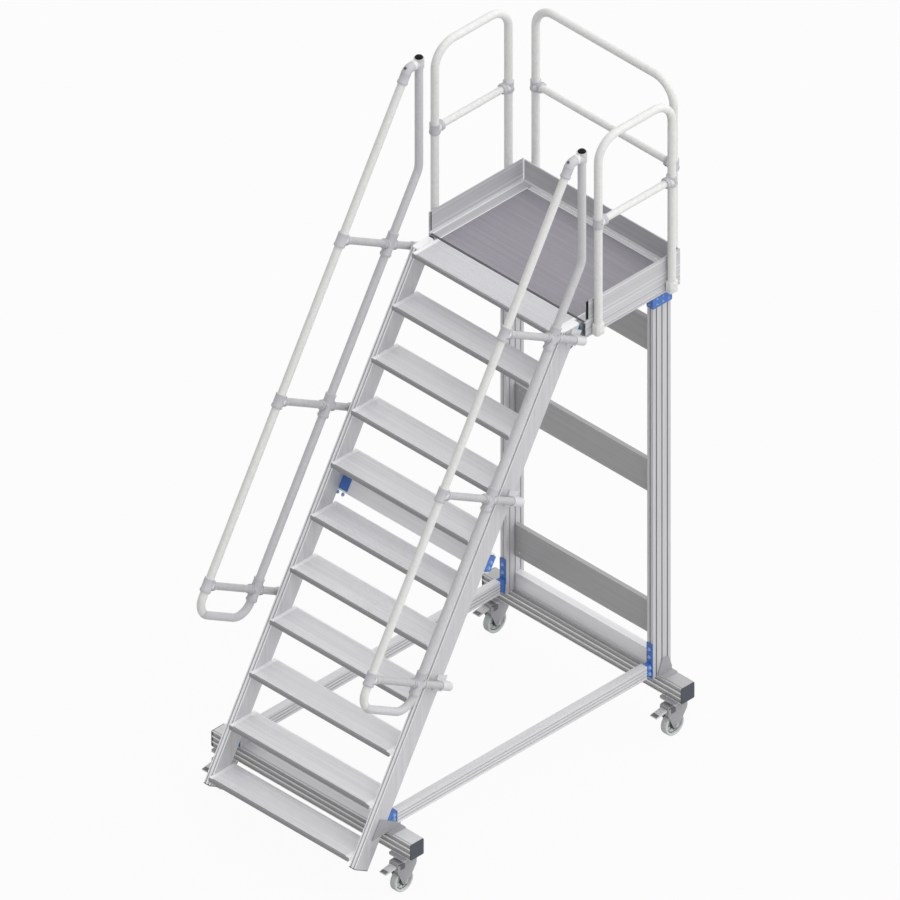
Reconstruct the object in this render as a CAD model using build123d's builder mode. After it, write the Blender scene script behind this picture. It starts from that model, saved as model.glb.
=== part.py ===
from build123d import *
from math import cos, radians, sin, tan
import os

# Mobile platform stairs. X runs across the flight, Y the way a climber walks, Z up.
# The origin lies on the floor under the middle of the outline.

os.makedirs("parts", exist_ok=True)

# Flight
steps = 11
rise = 240.0
pitch = 60.0
going = rise / tan(radians(pitch))
tread_span = 950.0
tread_depth = 176.0
tread_lip = 24.0
tread_skin = 4.0
tread_flange = 22.0
tread_grooves = 16
tread_groove_wide = 3.0
tread_groove_deep = 1.0
nose_band = 12.0
nose_round = 6.0
platform_z = steps * rise

# Stringers
stringer_wide = 40.0
stringer_deep = 100.0
stringer_setback = 35.0
stringer_foot_run = 40.0
bar_wall = 5.0
groove_wide = 8.0
groove_deep = 3.0
end_cap_thick = 4.0

# Platform
frame_overhang = 20.0
frame_web = 40.0
frame_ledge = 28.0
ledge_thick = 8.0
frame_tall = 85.0
front_lip = 12.0
deck_back_gap = 778.0
frame_back_gap = 819.0
deck_thick = 30.0
deck_skin = 4.0
deck_rib = 2.0
deck_ribs = 38
deck_webs = 8
toe_tall = 125.0
toe_thick = 4.0
toe_fold = 12.0

# Base
beam_overhang = 160.0
beam_size = 90.0
beam_floor_gap = 212.0
beam_wall = 5.0
beam_rib_pitch = 31.0
beam_band = 22.0
beam_band_deep = 5.0
front_beam_gap = -1161.0
rear_beam_gap = 683.0
rail_tall = 73.0
rail_floor_gap = 320.0
rail_front_gap = -1090.0
rail_end_gap = 36.0

# Rear posts and what joins them
post_inset = 25.0
post_deep = 120.0
post_front_gap = 650.0
post_groove_pitch = 37.5
panel_tall = 185.0
panel_skin = 4.0
panel_fold = 24.0
panel_pitch = 831.0
panel_low_z = 501.0
panels = 3
panel_gap = 710.0
panel_hole_r = 4.5
panel_hole_side = 30.0
panel_hole_edge = 27.5
sill_tall = 100.0
sill_wide = 40.0

# Round tube of the rails
tube_r = 21.0
knee_bar_r = 18.5
touch_gap = 0.5
hoop_bend_r = 125.0
hoop_top = 1050.0
hoop_mid = 578.0
hoop_drop = 76.0
side_hoop_front_gap = 240.0
side_hoop_back_gap = 741.0
back_hoop_inset = 65.0
clamp_along = 54.0
clamp_tall = 60.0
clamp_round = 18.0

# Handrails, as distances in front of the nosing line and along the slope from the top nosing
handrail_out = 40.0
upper_rail_q = 464.0
knee_rail_q = 87.0
handrail_bend_r = 90.0
loop_end_s = -1972.0
grab_gap = 130.0
grab_top = 1050.0
elbow_z = 1020.0
elbow_bend_r = 45.0
grab_bend_r = 110.0
strut_r = 19.0
collar_r = 23.5
sleeve_r = 26.0
sleeve_long = 120.0
tee_long = 70.0
tee_tall = 56.0
tee_reach = 46.0
collar_tall = 56.0
collar_reach = 44.0
foot_long = 84.0
foot_deep = 70.0
foot_thick = 8.0
foot_low_q = -157.0
plug_tall = 8.0

# Blue joining plates and grey angles
plate_thick = 5.0
shoe_long = 80.0
shoe_deep = 50.0
shoe_reach = 55.0
sleeve_head_tall = 72.0
foot_plate_tall = 200.0
angle_thick = 6.0
web_cover = 40.0
web_tall = 96.0
angle_flange = 42.0

# Casters
wheel_r = 62.5
wheel_wide = 40.0
tread_band = 14.0
trail = 32.0
caster_inset = 70.0
caster_plate_long = 110.0
caster_plate_front = 70.0
caster_plate_thick = 8.0
caster_plate_round = 12.0
race_r = 38.0
race_tall = 16.0
run_gap = 0.3
crown_tall = 14.0
crown_front = 88.0
crown_back = 42.0
apron_tall = 34.0
leg_foot = 22.0
leg_toe = 16.0
fork_thick = 5.0
fork_gap = 5.0
hub_r = 22.0
axle_r = 6.0
axle_head_r = 9.0
axle_head = 5.0
pedal_reach = 162.0
pedal_wide = 46.0
pedal_thick = 6.0

# Places worked out from the sizes above
frame_front_gap = tread_depth + touch_gap
front_reach = (steps - 1) * going
back_hoop_gap = frame_back_gap + touch_gap + tube_r
rear_reach = back_hoop_gap + sleeve_r
nose_y = (front_reach - rear_reach) / 2
stringer_in = tread_span / 2
stringer_mid = stringer_in + stringer_wide / 2
stringer_out = stringer_in + stringer_wide
handrail_x = stringer_out + handrail_out
frame_out = stringer_out + frame_overhang
frame_in = frame_out - frame_web
ledge_in = frame_in - frame_ledge
frame_low = platform_z - frame_tall
front_beam_y = nose_y + front_beam_gap + beam_size / 2
rear_beam_y = nose_y + rear_beam_gap + beam_size / 2
beam_top = beam_floor_gap + beam_size
beam_long = 2 * (stringer_out + beam_overhang)
caster_x = beam_long / 2 - caster_inset
post_x = stringer_in + post_inset
post_in = post_x - stringer_wide / 2
post_y = nose_y + post_front_gap + post_deep / 2
side_hoop_x = frame_out + touch_gap + tube_r
back_hoop_span = 2 * (frame_out - back_hoop_inset)
slope_up = Vector(0, cos(radians(pitch)), sin(radians(pitch)))
slope_out = Vector(0, -sin(radians(pitch)), cos(radians(pitch)))
sides = {"left": -1, "right": 1}


def on_slope(x, q, s):
    """The point at x, q in front of the nosing line and s up the slope from the top nosing."""
    return Vector(x, nose_y, platform_z) + slope_out * q + slope_up * s


def slope_plane(x, q, s):
    """A plane square to the slope: its x runs across the flight and its y into the stairs."""
    return Plane(origin=on_slope(x, q, s), x_dir=(1, 0, 0), z_dir=slope_up)


def slope_at_height(q, z):
    """How far up the slope a line at distance q reaches the height z."""
    return (z - platform_z - q * slope_out.Z) / slope_up.Z


def save(solid, name):
    solid.label = name
    export_step(solid, "parts/" + name + ".step")


def bar_section(wide, deep, wall, front_grooves=(), side_grooves=(), sides_cut=(-1, 1)):
    """A hollow bar section with shallow grooves, centred on the sketch in hand."""
    Rectangle(wide, deep)
    Rectangle(wide - 2 * wall, deep - 2 * wall, mode=Mode.SUBTRACT)
    for place in front_grooves:
        with Locations((place, -deep / 2), (place, deep / 2)):
            Rectangle(groove_wide, 2 * groove_deep, mode=Mode.SUBTRACT)
    for place in side_grooves:
        with Locations(*[(hand * wide / 2, place) for hand in sides_cut]):
            Rectangle(2 * groove_deep, groove_wide, mode=Mode.SUBTRACT)


# Stringers, cut level at the platform and square at the foot
foot_s = -(steps - 1) * rise / slope_up.Z - stringer_foot_run
head_s = slope_at_height(-stringer_setback, platform_z)
for side, hand in sides.items():
    middle_q = -stringer_setback - stringer_deep / 2
    with BuildPart() as stringer:
        with BuildSketch(slope_plane(hand * stringer_mid, middle_q, foot_s)):
            bar_section(
                stringer_wide,
                stringer_deep,
                bar_wall,
                front_grooves=(-stringer_wide / 4, stringer_wide / 4),
            )
        extrude(amount=head_s - foot_s + stringer_deep)
        split(bisect_by=Plane.XY.offset(platform_z), keep=Keep.BOTTOM)
    save(stringer.part, "stringer_" + side)

# Closing caps at both ends of both stringers
with BuildPart() as foot_caps:
    for hand in sides.values():
        foot_plane = slope_plane(hand * stringer_mid, middle_q, foot_s - end_cap_thick)
        with BuildSketch(foot_plane):
            Rectangle(stringer_wide, stringer_deep)
        extrude(amount=end_cap_thick)
save(foot_caps.part, "stringer_foot_caps")

with BuildPart() as head_caps:
    for hand in sides.values():
        head_cut = stringer_deep / sin(radians(pitch))
        head_front = nose_y + stringer_setback / sin(radians(pitch))
        with BuildSketch(Plane.XY.offset(platform_z)):
            with Locations((hand * stringer_mid, head_front + head_cut / 2)):
                RectangleRounded(stringer_wide, head_cut, stringer_wide / 3)
        extrude(amount=end_cap_thick)
save(head_caps.part, "stringer_head_caps")

# Treads: a folded channel with a rounded nose and a bolting flange at each end
for number in range(1, steps + 1):
    top_z = number * rise
    front_y = nose_y - (steps - number) * going
    with BuildPart() as tread:
        with BuildSketch(Plane.YZ.offset(-tread_span / 2)):
            with Locations((front_y + tread_depth / 2, top_z - tread_lip / 2)):
                Rectangle(tread_depth, tread_lip)
        extrude(amount=tread_span)
        nose = tread.edges().filter_by(Axis.X).group_by(Axis.Z)[-1].sort_by(Axis.Y)[0]
        fillet(nose, nose_round)
        with BuildSketch(Plane.YZ.offset(-tread_span / 2 + tread_skin)):
            with Locations((front_y + tread_depth / 2, top_z - tread_lip / 2 - tread_skin / 2)):
                Rectangle(tread_depth - 2 * tread_skin, tread_lip - tread_skin)
        extrude(amount=tread_span - 2 * tread_skin, mode=Mode.SUBTRACT)
        with BuildSketch(Plane.YZ.offset(tread_flange - tread_span / 2)):
            with Locations((front_y + nose_band + (tread_depth - nose_band) / 2, top_z)):
                with GridLocations((tread_depth - nose_band) / tread_grooves, 0, tread_grooves, 1):
                    Rectangle(tread_groove_wide, 2 * tread_groove_deep)
        extrude(amount=tread_span - 2 * tread_flange, mode=Mode.SUBTRACT)
        for hand in sides.values():
            flange_x = hand * (tread_span / 2 - tread_flange / 2)
            with BuildSketch(Plane.XY.offset(top_z - tread_lip)):
                with Locations((flange_x, front_y + tread_depth / 2)):
                    Rectangle(tread_flange, tread_depth)
            extrude(amount=tread_skin)
    save(tread.part, f"tread_{number:02d}")

# Base beams with three recessed bands along the front and the back
for name, beam_y in {"front_beam": front_beam_y, "rear_beam": rear_beam_y}.items():
    with BuildPart() as beam:
        with BuildSketch(Plane.YZ.offset(-beam_long / 2)):
            with Locations((beam_y, beam_floor_gap + beam_size / 2)):
                Rectangle(beam_size, beam_size)
                inside = beam_size - 2 * (beam_wall + beam_band_deep)
                Rectangle(inside, inside, mode=Mode.SUBTRACT)
            for row in (-1, 0, 1):
                for face in (-1, 1):
                    band = (beam_y + face * beam_size / 2, beam_floor_gap + beam_size / 2 + row * beam_rib_pitch)
                    with Locations(band):
                        Rectangle(2 * beam_band_deep, beam_band, mode=Mode.SUBTRACT)
        extrude(amount=beam_long)
    save(beam.part, name)

with BuildPart() as beam_caps:
    for beam_y in (front_beam_y, rear_beam_y):
        for hand in sides.values():
            cap_x = hand * beam_long / 2 + (0 if hand > 0 else -end_cap_thick)
            with BuildSketch(Plane.YZ.offset(cap_x)):
                with Locations((beam_y, beam_floor_gap + beam_size / 2)):
                    RectangleRounded(beam_size, beam_size, nose_round)
            extrude(amount=end_cap_thick)
save(beam_caps.part, "beam_end_caps")

# Side rails of the base, from the front angle to the foot plate of the post
rail_front = nose_y + rail_front_gap
foot_plate_y = nose_y + post_front_gap - plate_thick
rail_back = foot_plate_y - rail_end_gap
for side, hand in sides.items():
    with BuildPart() as side_rail:
        with BuildSketch(Plane.XZ.offset(-rail_front)):
            with Locations((hand * post_x, rail_floor_gap + rail_tall / 2)):
                bar_section(stringer_wide, rail_tall, bar_wall, side_grooves=(-rail_tall / 4, 0, rail_tall / 4))
        extrude(amount=-(rail_back - rail_front))
    save(side_rail.part, "side_rail_" + side)

# Rear posts, standing on the rear beam under the platform frame
post_grooves = (-post_groove_pitch, 0, post_groove_pitch)
for side, hand in sides.items():
    with BuildPart() as post:
        with BuildSketch(Plane.XY.offset(beam_top)):
            with Locations((hand * post_x, post_y)):
                bar_section(stringer_wide, post_deep, bar_wall, front_grooves=(0,), side_grooves=post_grooves)
        extrude(amount=frame_low - beam_top)
    save(post.part, "rear_post_" + side)

# Folded panels across the rear posts
panel_span = 2 * post_in
panel_y = nose_y + panel_gap
with BuildPart() as rear_panels:
    for number in range(panels):
        low_z = panel_low_z + number * panel_pitch
        high_z = low_z + panel_tall
        back_y = panel_y + panel_fold
        with BuildSketch(Plane.YZ.offset(-panel_span / 2)):
            Polygon(
                (panel_y, low_z),
                (panel_y, high_z),
                (back_y, high_z),
                (back_y, high_z - panel_skin),
                (panel_y + panel_skin, high_z - panel_skin),
                (panel_y + panel_skin, low_z + panel_skin),
                (back_y, low_z + panel_skin),
                (back_y, low_z),
                align=None,
            )
        extrude(amount=panel_span)
        with BuildSketch(Plane.XZ.offset(-panel_y)):
            with Locations((0, (low_z + high_z) / 2)):
                with GridLocations(panel_span - 2 * panel_hole_side, panel_tall - 2 * panel_hole_edge, 2, 2):
                    Circle(panel_hole_r)
        extrude(amount=-panel_skin, mode=Mode.SUBTRACT)
save(rear_panels.part, "rear_panels")

# Sill bar between the posts, lying on the rear beam
with BuildPart() as rear_sill:
    with BuildSketch(Plane.YZ.offset(-panel_span / 2)):
        with Locations((panel_y + sill_wide / 2, beam_top + sill_tall / 2)):
            bar_section(sill_wide, sill_tall, bar_wall)
    extrude(amount=panel_span)
save(rear_sill.part, "rear_sill")

# Cross bar behind the stringers
back_q = -stringer_setback - stringer_deep
cross_s = -1239.0
cross_q = back_q - plate_thick - sill_wide / 2
with BuildPart() as cross_bar:
    cross_start = on_slope(plate_thick - stringer_out, cross_q, cross_s + sill_tall / 2)
    with BuildSketch(Plane(origin=cross_start, x_dir=slope_up, z_dir=(1, 0, 0))):
        bar_section(sill_tall, sill_wide, bar_wall)
    extrude(amount=2 * (stringer_out - plate_thick))
save(cross_bar.part, "cross_bar")

# Platform frame: side rails with a ledge, a back rail and a front rail
frame_front = nose_y + frame_front_gap
frame_back = nose_y + frame_back_gap
for side, hand in sides.items():
    with BuildPart() as platform_rail:
        with BuildSketch(Plane.XZ.offset(-frame_front)):
            web_x = hand * (frame_out - frame_web / 2)
            web_z = frame_low + frame_tall / 2
            with Locations((web_x, web_z)):
                bar_section(
                    frame_web,
                    frame_tall,
                    bar_wall,
                    side_grooves=(-frame_tall / 3, frame_tall / 8),
                    sides_cut=(hand,),
                )
            with Locations((hand * (frame_in - frame_ledge / 2), platform_z - ledge_thick / 2)):
                Rectangle(frame_ledge, ledge_thick)
        extrude(amount=-(frame_back - frame_front))
    save(platform_rail.part, "platform_rail_" + side)

cross_span = 2 * frame_in
deck_front = frame_front + front_lip
deck_back = nose_y + deck_back_gap
deck_low = platform_z - deck_thick
with BuildPart() as front_rail:
    with BuildSketch(Plane.YZ.offset(-cross_span / 2)):
        Polygon(
            (frame_front, frame_low),
            (frame_front, platform_z - ledge_thick),
            (deck_front, platform_z - ledge_thick),
            (deck_front, deck_low),
            (frame_front + frame_web, deck_low),
            (frame_front + frame_web, frame_low),
            align=None,
        )
    extrude(amount=cross_span)
save(front_rail.part, "platform_rail_front")

with BuildPart() as back_rail:
    with BuildSketch(Plane.YZ.offset(-cross_span / 2)):
        with Locations(((deck_back + frame_back) / 2, platform_z - ledge_thick - (frame_tall - ledge_thick) / 2)):
            bar_section(frame_back - deck_back, frame_tall - ledge_thick, bar_wall)
    extrude(amount=cross_span)
save(back_rail.part, "platform_rail_back")

# Deck planks between the ledges: ribbed on top, with webs below
deck_long = deck_back - deck_front
with BuildPart() as deck:
    with BuildSketch(Plane.YZ.offset(-ledge_in)):
        with Locations((deck_front + deck_long / 2, platform_z - (deck_skin + deck_rib) / 2 - deck_rib / 2)):
            Rectangle(deck_long, deck_skin)
        with Locations((deck_front + deck_long / 2, platform_z - deck_rib / 2)):
            with GridLocations(deck_long / deck_ribs, 0, deck_ribs, 1):
                Rectangle(deck_long / deck_ribs / 2, deck_rib)
        with Locations((deck_front + deck_long / 2, deck_low + (deck_thick - deck_rib) / 2)):
            with GridLocations((deck_long - deck_skin) / deck_webs, 0, deck_webs + 1, 1):
                Rectangle(deck_skin, deck_thick - deck_rib)
    extrude(amount=2 * ledge_in)
save(deck.part, "platform_deck")

# Toe boards on the frame, each with a folded foot
for side, hand in sides.items():
    with BuildPart() as toe_board:
        with BuildSketch(Plane.XZ.offset(-frame_front)):
            with Locations((hand * (frame_out - toe_thick / 2), platform_z + toe_tall / 2)):
                Rectangle(toe_thick, toe_tall)
            with Locations((hand * (frame_out - toe_fold / 2), platform_z + toe_thick / 2)):
                Rectangle(toe_fold, toe_thick)
        extrude(amount=-(frame_back - frame_front))
    save(toe_board.part, "toe_board_" + side)

back_toe_span = 2 * (frame_out - toe_fold)
with BuildPart() as back_toe:
    with BuildSketch(Plane.YZ.offset(-back_toe_span / 2)):
        with Locations((frame_back - toe_thick / 2, platform_z + toe_tall / 2)):
            Rectangle(toe_thick, toe_tall)
        with Locations((frame_back - toe_fold / 2, platform_z + toe_thick / 2)):
            Rectangle(toe_fold, toe_thick)
    extrude(amount=back_toe_span)
save(back_toe.part, "toe_board_back")

# Guard hoops: a bent tube with a tee on each leg for the knee bar and a clamp foot on the frame
tee_r = sleeve_r - touch_gap
clamp_deep = 2 * (tube_r + touch_gap)


def hoop(plane, span, name):
    """A hoop in plane, whose x runs from leg to leg and whose y is the height over the platform."""
    legs = ((-span / 2, 0), (span / 2, 0))
    with BuildPart() as guard:
        with BuildLine(plane) as run:
            FilletPolyline(
                (-span / 2, -hoop_drop),
                (-span / 2, hoop_top),
                (span / 2, hoop_top),
                (span / 2, -hoop_drop),
                radius=hoop_bend_r,
            )
        with BuildSketch(Plane(origin=run.line @ 0, x_dir=plane.z_dir, z_dir=run.line % 0)):
            Circle(tube_r)
        sweep()
        across = Plane(origin=plane.origin, x_dir=plane.x_dir, z_dir=plane.y_dir)
        with BuildSketch(across.offset(hoop_mid - tee_tall / 2)):
            with Locations(*legs):
                Circle(sleeve_r)
        extrude(amount=tee_tall)
        for hand in sides.values():
            boss_start = plane.from_local_coords((hand * span / 2, hoop_mid))
            with BuildSketch(Plane(origin=boss_start, x_dir=plane.z_dir, z_dir=plane.x_dir * -hand)):
                Circle(tee_r)
            extrude(amount=tee_reach)
        with BuildSketch(across.offset(-hoop_drop)):
            with Locations(*legs):
                RectangleRounded(clamp_along, clamp_deep, clamp_round)
        extrude(amount=clamp_tall)
    save(guard.part, name)


side_hoop_span = side_hoop_back_gap - side_hoop_front_gap
side_hoop_y = nose_y + (side_hoop_front_gap + side_hoop_back_gap) / 2
back_hoop_y = nose_y + back_hoop_gap
for side, hand in sides.items():
    side_plane = Plane(origin=(hand * side_hoop_x, side_hoop_y, platform_z), x_dir=(0, 1, 0), z_dir=(1, 0, 0))
    hoop(side_plane, side_hoop_span, "guard_hoop_" + side)
back_plane = Plane(origin=(0, back_hoop_y, platform_z), x_dir=(1, 0, 0), z_dir=(0, -1, 0))
hoop(back_plane, back_hoop_span, "guard_hoop_back")

# Knee bars between the tees of each hoop
with BuildPart() as knee_bars:
    for hand in sides.values():
        with BuildSketch(Plane.XZ.offset(-(side_hoop_y - side_hoop_span / 2 + tee_reach))):
            with Locations((hand * side_hoop_x, platform_z + hoop_mid)):
                Circle(knee_bar_r)
        extrude(amount=-(side_hoop_span - 2 * tee_reach))
    with BuildSketch(Plane.YZ.offset(tee_reach - back_hoop_span / 2)):
        with Locations((back_hoop_y, platform_z + hoop_mid)):
            Circle(knee_bar_r)
    extrude(amount=back_hoop_span - 2 * tee_reach)
save(knee_bars.part, "guard_knee_bars")

# Handrails: grab post, knee rail, end loop and upper rail in one bent tube, with its joining sleeves
strut_rows = (8.0, -844.0, -1818.0)
grab_y = nose_y + grab_gap
knee_s = (grab_gap - knee_rail_q * slope_out.Y) / slope_up.Y
elbow_s = slope_at_height(upper_rail_q, platform_z + elbow_z)
for side, hand in sides.items():
    rail_x = hand * handrail_x
    with BuildPart() as handrail:
        with BuildLine() as run:
            FilletPolyline(
                (rail_x, grab_y, platform_z + grab_top),
                on_slope(rail_x, knee_rail_q, knee_s),
                on_slope(rail_x, knee_rail_q, loop_end_s),
                on_slope(rail_x, upper_rail_q, loop_end_s),
                on_slope(rail_x, upper_rail_q, elbow_s),
                (rail_x, grab_y - collar_reach, platform_z + elbow_z),
                radius=(grab_bend_r, handrail_bend_r, handrail_bend_r, elbow_bend_r),
            )
        with BuildSketch(Plane(origin=run.line @ 0, x_dir=(1, 0, 0), z_dir=run.line % 0)):
            Circle(tube_r)
        sweep()
        for rail_q, long, out_reach in ((upper_rail_q, tee_long, 0), (knee_rail_q, sleeve_long, tee_reach)):
            for strut_s in strut_rows:
                with BuildSketch(slope_plane(rail_x, rail_q, strut_s - long / 2)):
                    Circle(sleeve_r)
                extrude(amount=long)
                boss_start = on_slope(rail_x, rail_q - tee_reach, strut_s)
                with BuildSketch(Plane(origin=boss_start, x_dir=(1, 0, 0), z_dir=slope_out)):
                    Circle(collar_r)
                extrude(amount=tee_reach + out_reach)
        with BuildSketch(Plane.XY.offset(platform_z + elbow_z - collar_tall / 2)):
            with Locations((rail_x, grab_y)):
                Circle(sleeve_r)
        extrude(amount=collar_tall)
        with BuildSketch(Plane.XZ.offset(collar_reach - grab_y)):
            with Locations((rail_x, platform_z + elbow_z)):
                Circle(tee_r)
        extrude(amount=-collar_reach)
    save(handrail.part, "handrail_" + side)

# Struts that carry each handrail on its stringer, square to the slope
strut_runs = (
    (foot_low_q + foot_deep, knee_rail_q - tee_reach),
    (knee_rail_q + tee_reach, upper_rail_q - tee_reach),
)
with BuildPart() as struts:
    for hand in sides.values():
        for strut_s in strut_rows:
            for low_q, high_q in strut_runs:
                start = on_slope(hand * handrail_x, low_q, strut_s)
                with BuildSketch(Plane(origin=start, x_dir=(1, 0, 0), z_dir=slope_out)):
                    Circle(strut_r)
                extrude(amount=high_q - low_q)
save(struts.part, "handrail_struts")

# Feet of the struts, clamped to the outer sides of the stringers
with BuildPart() as strut_feet:
    for hand in sides.values():
        for strut_s in strut_rows:
            foot_start = on_slope(0, foot_low_q, strut_s)
            foot_plane = Plane(origin=foot_start, x_dir=(1, 0, 0), z_dir=slope_out)
            with BuildSketch(foot_plane):
                with Locations((hand * (stringer_out + foot_thick / 2), 0)):
                    Rectangle(foot_thick, foot_long)
                with Locations((hand * (stringer_out + handrail_x) / 2, 0)):
                    Rectangle(handrail_x - stringer_out, 2 * strut_r)
                with Locations((hand * handrail_x, 0)):
                    Circle(collar_r)
            extrude(amount=foot_deep)
save(strut_feet.part, "strut_feet")

# Black plugs in the tops of the grab posts
with BuildPart() as plugs:
    for hand in sides.values():
        with BuildSketch(Plane.XY.offset(platform_z + grab_top)):
            with Locations((hand * handrail_x, nose_y + grab_gap)):
                Circle(tube_r + touch_gap)
        extrude(amount=plug_tall)
        chamfer(plugs.edges().group_by(Axis.Z)[-1], plug_tall / 4)
save(plugs.part, "rail_plugs")

# Blue plates of the stringers: head plates, shoes of the cross bar, brackets on the front beam
with BuildPart() as stringer_plates:
    for hand in sides.values():
        high_z = platform_z - tread_lip
        low_z = platform_z - 1.75 * frame_tall
        high_y = on_slope(0, back_q, slope_at_height(back_q, high_z)).Y
        low_y = on_slope(0, back_q, slope_at_height(back_q, low_z)).Y
        with BuildSketch(Plane.YZ.offset(hand * stringer_mid - plate_thick / 2)):
            Polygon(
                (low_y, low_z),
                (high_y, high_z),
                (frame_front, high_z),
                (frame_front, frame_low),
                (frame_front + frame_web, frame_low),
                (frame_front + frame_web, frame_low - plate_thick),
                align=None,
            )
        extrude(amount=plate_thick)
        shoe_in = stringer_in - shoe_reach
        front_wide = stringer_out - shoe_in
        shoe_s = cross_s + (sill_tall - shoe_long) / 2
        with BuildSketch(slope_plane(0, back_q, shoe_s)):
            with Locations((hand * (shoe_in + front_wide / 2), plate_thick / 2)):
                Rectangle(front_wide, plate_thick)
            with Locations((hand * (stringer_out - plate_thick / 2), shoe_deep / 2)):
                Rectangle(plate_thick, shoe_deep)
        extrude(amount=shoe_long)
        bracket_low = beam_top
        bracket_high = rail_floor_gap + rail_tall
        high_front = on_slope(0, back_q, slope_at_height(back_q, bracket_high)).Y
        beam_edge = nose_y + front_beam_gap
        edge_z = platform_z + (beam_edge - nose_y - back_q / slope_out.Y) * tan(radians(pitch))
        bracket_x = -stringer_out if hand < 0 else post_in
        with BuildSketch(Plane.YZ.offset(bracket_x)):
            Polygon(
                (beam_edge, bracket_low),
                (rail_front, bracket_low),
                (rail_front, bracket_high),
                (high_front, bracket_high),
                (beam_edge, edge_z),
                align=None,
            )
        extrude(amount=stringer_out - post_in)
save(stringer_plates.part, "stringer_plates")

# Blue plates of the rear posts: sleeves at their heads and plates at their feet
with BuildPart() as post_plates:
    for hand in sides.values():
        with BuildSketch(Plane.XY.offset(frame_low - sleeve_head_tall)):
            with Locations((hand * post_x, post_y)):
                Rectangle(stringer_wide, post_deep + 2 * plate_thick)
            with Locations((hand * (post_x + plate_thick / 2), post_y)):
                Rectangle(stringer_wide + plate_thick, post_deep + 2 * plate_thick)
            with Locations((hand * post_x, post_y)):
                Rectangle(stringer_wide, post_deep, mode=Mode.SUBTRACT)
        extrude(amount=sleeve_head_tall)
        with BuildSketch(Plane.XZ.offset(-foot_plate_y)):
            with Locations((hand * post_x, beam_top + foot_plate_tall / 2)):
                Rectangle(stringer_wide, foot_plate_tall)
        extrude(amount=-plate_thick)
        with BuildSketch(Plane.XZ.offset(-rail_back)):
            with Locations((hand * post_x, rail_floor_gap + rail_tall / 2)):
                Rectangle(stringer_wide - 2 * plate_thick, rail_tall - 2 * plate_thick)
        extrude(amount=-rail_end_gap)
save(post_plates.part, "post_plates")

# Grey angles on the beams, beside the stringers and beside the posts
with BuildPart() as angles:
    for hand in sides.values():
        front_x = stringer_out if hand > 0 else -stringer_out - angle_thick
        beam_front = nose_y + front_beam_gap
        beam_back = beam_front + beam_size
        web_back = rail_front - touch_gap
        web_q = -stringer_setback - web_cover
        web_s = slope_at_height(web_q, beam_top + web_tall)
        web_corner = on_slope(0, web_q, web_s)
        web_back_z = web_corner.Z + (web_back - web_corner.Y) * slope_out.Z / slope_out.Y
        with BuildSketch(Plane.YZ.offset(front_x)):
            Polygon(
                tuple(on_slope(0, web_q, slope_at_height(web_q, beam_top)))[1:],
                (beam_back, beam_top),
                (beam_back, rail_floor_gap - touch_gap),
                (web_back, rail_floor_gap - touch_gap),
                (web_back, web_back_z),
                tuple(on_slope(0, web_q, web_s))[1:],
                align=None,
            )
        extrude(amount=angle_thick)
        with BuildSketch(Plane.XY.offset(beam_top)):
            with Locations((hand * (stringer_out + angle_flange / 2), beam_front + beam_size / 2)):
                Rectangle(angle_flange, beam_size)
        extrude(amount=angle_thick)
        post_out = post_x + stringer_wide / 2
        rear_x = post_out if hand > 0 else -post_out - angle_thick
        beam_rear = nose_y + rear_beam_gap
        with BuildSketch(Plane.YZ.offset(rear_x)):
            Polygon(
                (beam_rear, beam_top),
                (beam_rear + beam_size, beam_top),
                (beam_rear + beam_size, beam_top + beam_size / 4),
                (post_y + post_deep / 3, beam_top + beam_size),
                (post_y, beam_top + beam_size),
                (beam_rear, beam_top + beam_size / 4),
                align=None,
            )
        extrude(amount=angle_thick)
        with BuildSketch(Plane.XY.offset(beam_top)):
            with Locations((hand * (post_out + angle_flange / 2), beam_rear + beam_size / 2)):
                Rectangle(angle_flange, beam_size)
        extrude(amount=angle_thick)
save(angles.part, "beam_angles")

# Casters: a plate on the beam, a swivel fork with its brake pedal, and a wheel behind the swivel
caster_places = {
    "front_left": (-caster_x, front_beam_y),
    "front_right": (caster_x, front_beam_y),
    "rear_left": (-caster_x, rear_beam_y),
    "rear_right": (caster_x, rear_beam_y),
}
plate_low = beam_floor_gap - caster_plate_thick
race_top = plate_low - run_gap
race_low = race_top - race_tall
crown_low = race_low - crown_tall
leg_in = wheel_wide / 2 + fork_gap
with BuildPart() as caster_plates:
    for x, y in caster_places.values():
        with BuildSketch(Plane.XY.offset(plate_low)):
            with Locations((x, y + (beam_size / 2 - caster_plate_front) / 2)):
                RectangleRounded(caster_plate_long, beam_size / 2 + caster_plate_front, caster_plate_round)
        extrude(amount=caster_plate_thick)
save(caster_plates.part, "caster_plates")

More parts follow.
